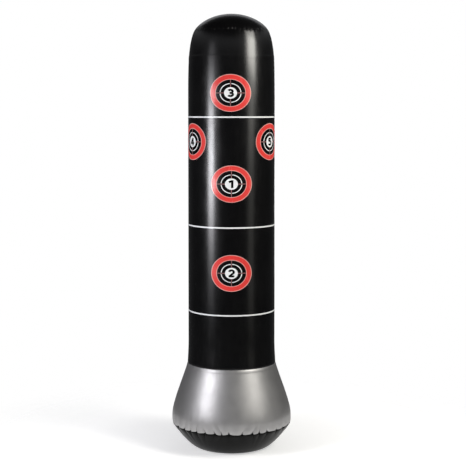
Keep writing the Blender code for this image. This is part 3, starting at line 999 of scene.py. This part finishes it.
def make_filler():
    """The water filler's cap with its grip bar, and its leash."""
    axes = FILLER["axes"]
    plug, hollow, rim, groove, grip, top = 0.0161, 0.0143, 0.0108, 0.0190, 0.0235, 0.0165
    section = eased([
        (0.0, rim), (hollow - 0.0007, rim), (hollow, -0.0060), (plug, -0.0060), (plug, rim),
        (groove + 0.0012, rim), (groove + 0.0012, rim + 0.0012), (groove, rim + 0.0012),
        (groove, rim + 0.0030), (grip, rim + 0.0030, 0.0009), (grip, top - 0.0008, 0.0009),
        (grip - 0.0010, top, 0.0005), (0.0196, top), (0.0186, top - 0.0013), (0.0, top - 0.0013),
    ])
    cap = turned("filler_cap_body", section, axes, "valve_plastic", "filler_cap", CAP_RIBS)
    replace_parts(cap, "filler_cap")
    bar = bmesh.new()
    size = Matrix.Diagonal((0.0350, 0.0058, 0.0046, 1.0))
    bmesh.ops.create_cube(bar, size=1.0, matrix=Matrix.Translation((0.0, 0.0, top + 0.0008)) @ size)
    bmesh.ops.bevel(bar, geom=bar.edges, offset=0.0011, segments=3, profile=0.5, affect="EDGES")
    bar.verts.index_update()
    places = [axes @ vertex.co for vertex in bar.verts]
    handle = new_object(
        "filler_cap_bar", places, [tuple(v.index for v in face.verts) for face in bar.faces],
        [INK["valve_plastic"]],
    )
    bar.free()
    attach(handle, "filler_cap")
    for name, node, bottom, body in (
        ("filler_lower_ring", "filler_neck_ring", 0.0016, "base"),
        ("filler_upper_ring", "filler_cap_ring", 0.0123, "filler_ring"),
    ):
        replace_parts(turned(name, washer(groove + 0.0003, bottom), axes, "leash_rubber", body), node)
    foot = groove + RING_WIDTH - 0.0004
    leash(FILLER, "filler_strap", (foot, 0.0022), (foot, 0.0129), 0.0)


def make_air_valve():
    """The air valve's cap, the grip round its insert, and its leash."""
    axes = AIR_VALVE["axes"]
    thread, neck, groove, grip, bottom, top = 0.0089, 0.0085, 0.0102, 0.0125, 0.0126, 0.0225
    section = eased([
        (thread, bottom), (groove + 0.0012, bottom), (groove + 0.0012, bottom + 0.0012),
        (groove, bottom + 0.0012), (groove, bottom + 0.0030), (grip + 0.0002, bottom + 0.0030, 0.0007),
        (grip, top - 0.0012, 0.0007), (grip - 0.0014, top - 0.0001, 0.0003), (0.0070, top + 0.0004),
        (0.0066, top - 0.0002), (0.0, top), (0.0, 0.0203), (thread, 0.0203),
    ])
    cap = turned("air_cap_body", section, axes, "valve_plastic", "valve_cap", AIR_CAP_RIBS)
    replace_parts(cap, "air_cap")
    rim = eased([(0.0148, 0.0080), (0.0168, 0.0080, 0.0007), (0.0168, 0.0107, 0.0007), (0.0148, 0.0109)])
    turned("air_insert_grip", rim, axes, "valve_plastic", "valve_insert", INSERT_RIBS)
    for name, node, inner, low, body in (
        ("air_lower_ring", "air_neck_ring", neck + 0.0003, 0.0111, "valve_insert"),
        ("air_upper_ring", "air_cap_ring", groove + 0.0003, 0.0141, "valve_cap_ring"),
    ):
        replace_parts(turned(name, washer(inner, low), axes, "leash_rubber", body), node)
    start = (neck + RING_WIDTH - 0.0004, 0.0117)
    end = (groove + RING_WIDTH - 0.0004, 0.0147)
    leash(AIR_VALVE, "air_strap", start, end, 0.0033)


# ---------------------------------------------------------------- carried-over CAD nodes

def finish_cad_nodes():
    """Gives each CAD node that stays its material."""
    slots = {s["node"]: s["material_slot"] for s in frame["record"]["subparts"]}
    for name, node in frame["nodes"].items():
        node.data.materials.clear()
        node.data.materials.append(INK[slots[name]])
        node.data.shade_smooth()
        node.data.set_sharp_from_angle(angle=SHARP_ANGLE)


# ---------------------------------------------------------------- studio

def softbox(name, foot, rise, width, bands, colour):
    """A softbox whose long axis runs from foot along rise, and which faces the middle of the object.

    It is brightest in its middle: bands of light, each (start, end, radiance) along the long axis,
    lie one behind another.
    """
    rise = Vector(rise).normalized()
    foot = Vector(foot)
    away = foot + rise * (bands[-1][0] + bands[-1][1]) / 2 - Vector((0.0, 0.0, 0.8))
    away = (away - away.dot(rise) * rise).normalized()
    turn = Matrix((rise.cross(away), rise, away)).transposed().to_quaternion()
    for number, (start, end, radiance) in enumerate(bands, 1):
        light = bpy.data.lights.new(f"{name}_{number}", "AREA")
        light.shape = "RECTANGLE"
        light.size = width
        light.size_y = end - start
        light.energy = radiance * math.pi * width * (end - start)
        light.color = colour
        holder = bpy.data.objects.new(light.name, light)
        bpy.context.scene.collection.objects.link(holder)
        holder.location = foot + rise * (start + end) / 2 + away * 0.02 * number
        holder.rotation_mode = "QUATERNION"
        holder.rotation_quaternion = turn
        holder.visible_camera = False


COOL = (0.97, 0.965, 1.01)
WARM = (1.0, 0.98, 0.915)

# Each softbox: name, foot, direction of its long axis, width, colour, and its bands of light
SOFTBOXES = [
    (
        "left_softbox", (-1.325, -1.005, 0.0), (0, 0, 1), 0.455, COOL,
        [
            (0.24, 2.05, 0.36), (0.36, 2.05, 0.72), (0.54, 1.56, 3.2),
            (0.67, 1.36, 5.4), (0.76, 1.28, 6.8), (0.86, 1.14, 8.8),
        ],
    ),
    ("left_fill", (-1.633, -1.946, 0.0), (0, 0, 1), 0.60, COOL, [(0.50, 1.80, 0.6)]),
    (
        "right_softbox", (1.982, -2.030, 0.0), (0, 0.305, 0.95), 1.00, WARM,
        [(1.62, 2.80, 6.0), (1.70, 3.55, 8.2)],
    ),
    (
        "right_fill", (1.981, -1.590, 0.0), (0, 0, 1), 0.66, WARM,
        [(0.10, 1.50, 0.52), (0.95, 1.50, 0.9), (1.15, 1.50, 0.7)],
    ),
    ("top_softbox", (0.9, 1.9, 2.5), (-1, 0, 0), 0.80, COOL, [(0.00, 1.80, 0.3)]),
    ("back_softbox", (0.50, 2.60, 0.0), (0, 0, 1), 0.45, COOL, [(0.30, 2.00, 1.6), (0.60, 1.50, 2.0)]),
]

# Strength of the surrounding that the object reflects: low down, a little above level, high up,
# and what is added behind. Each step runs along one axis: (axis, from, to, strength before, after).
SURROUND = 0.03
SURROUND_RAISED = 0.32
SURROUND_ABOVE = 0.015
SURROUND_BEHIND = 0.03
SURROUND_STEPS = (
    ("Z", 0.15, 0.45, SURROUND, SURROUND_RAISED),
    ("Z", 0.40, 0.60, 0.0, SURROUND_ABOVE - SURROUND_RAISED),
    ("Y", 0.40, 0.95, 0.0, SURROUND_BEHIND),
)

FLOOR_RINGS = (0.30, 0.60, 0.90, 1.20)
FLOOR_SIDES = 96
FLOOR_DROP = 0.0004


def make_studio():
    """A surrounding that is white to the camera and dim to the object, a pale floor that glows, less near the base
    as painted shade round it, and soft lights.
    """
    world = bpy.data.worlds.new("studio")
    bpy.context.scene.world = world
    world.use_nodes = True
    nodes, links = world.node_tree.nodes, world.node_tree.links
    nodes.clear()
    seen = nodes.new("ShaderNodeBackground")
    seen.inputs["Color"].default_value = (1.0, 1.0, 1.0, 1.0)
    around = nodes.new("ShaderNodeBackground")
    around.inputs["Color"].default_value = (0.95, 0.97, 1.0, 1.0)
    direction = nodes.new("ShaderNodeTexCoord")
    split = nodes.new("ShaderNodeSeparateXYZ")
    links.new(direction.outputs["Generated"], split.inputs[0])
    strength = None
    for axis, *limits in SURROUND_STEPS:
        rise = map_range(world.node_tree, split.outputs[axis], limits)
        rise.interpolation_type = "SMOOTHSTEP"
        if strength is None:
            strength = rise.outputs["Result"]
        else:
            both = nodes.new("ShaderNodeMath")
            links.new(strength, both.inputs[0])
            links.new(rise.outputs["Result"], both.inputs[1])
            strength = both.outputs[0]
    links.new(strength, around.inputs["Strength"])
    mix = nodes.new("ShaderNodeMixShader")
    path = nodes.new("ShaderNodeLightPath")
    output = nodes.new("ShaderNodeOutputWorld")
    links.new(path.outputs["Is Camera Ray"], mix.inputs[0])
    links.new(around.outputs[0], mix.inputs[1])
    links.new(seen.outputs[0], mix.inputs[2])
    links.new(mix.outputs[0], output.inputs["Surface"])

    n = Nodes("studio_floor")
    rim = n.tree.nodes.new("ShaderNodeVectorMath")
    rim.operation = "LENGTH"
    n.link(n.place, rim.inputs[0])
    # The floor glows, though it is no lamp. Its emission is weaker near the base, which paints shade round the
    # base, and stronger further out.
    floor_glow_with_painted_shade = n.ranged(rim.outputs["Value"], 0.16, 0.60, 0.46, 0.64)
    paper = n.colours(n.noise(40.0, 4.0), [(0.3, grey(0.80)), (0.8, grey(0.84))])
    floor_material = n.set(
        Base_Color=paper, Roughness=0.9, Emission_Color=(1.0, 1.0, 1.0, 1.0), Emission_Strength=floor_glow_with_painted_shade,
        Alpha=n.ranged(rim.outputs["Value"], 0.45, 1.15, 1.0, 0.0),
    )
    turns = np.linspace(0, math.tau, FLOOR_SIDES, endpoint=False)
    vertices = [(0.0, 0.0, 0.0)]
    faces = []
    for radius in FLOOR_RINGS:
        vertices += [(radius * math.cos(t), radius * math.sin(t), 0.0) for t in turns]
    faces += [(0, 1 + i, 1 + (i + 1) % FLOOR_SIDES) for i in range(FLOOR_SIDES)]
    faces += grid_faces(len(FLOOR_RINGS), FLOOR_SIDES, 1, flip=True)
    floor = new_object("studio_floor", vertices, faces, [floor_material])
    floor.location.z = -FLOOR_DROP

    for name, foot, rise, width, colour, bands in SOFTBOXES:
        softbox(name, foot, rise, width, bands, colour)


CAMERA_PLACE = (0.0055, -4.465, 1.249)
CAMERA_DOWN = 5.763
CAMERA_LENS = 93.7


def make_camera():
    """In front of the object, level with the upper part of the column and tilted slightly down."""
    camera = bpy.data.cameras.new("camera")
    camera.sensor_width = 36.0
    camera.lens = CAMERA_LENS
    holder = bpy.data.objects.new("camera", camera)
    bpy.context.scene.collection.objects.link(holder)
    holder.location = CAMERA_PLACE
    holder.rotation_euler = (math.radians(90 - CAMERA_DOWN), 0.0, 0.0)
    bpy.context.scene.camera = holder
    bpy.context.scene.view_settings.view_transform = "Standard"


make_camera()
make_studio()
finish_cad_nodes()
make_column()
make_top()
make_base()
make_water()
make_filler()
make_air_valve()
for target in TARGETS:
    make_target(*target)
for number, (height, body, next_body) in enumerate(LINES, 1):
    make_line(number, height, body, next_body)
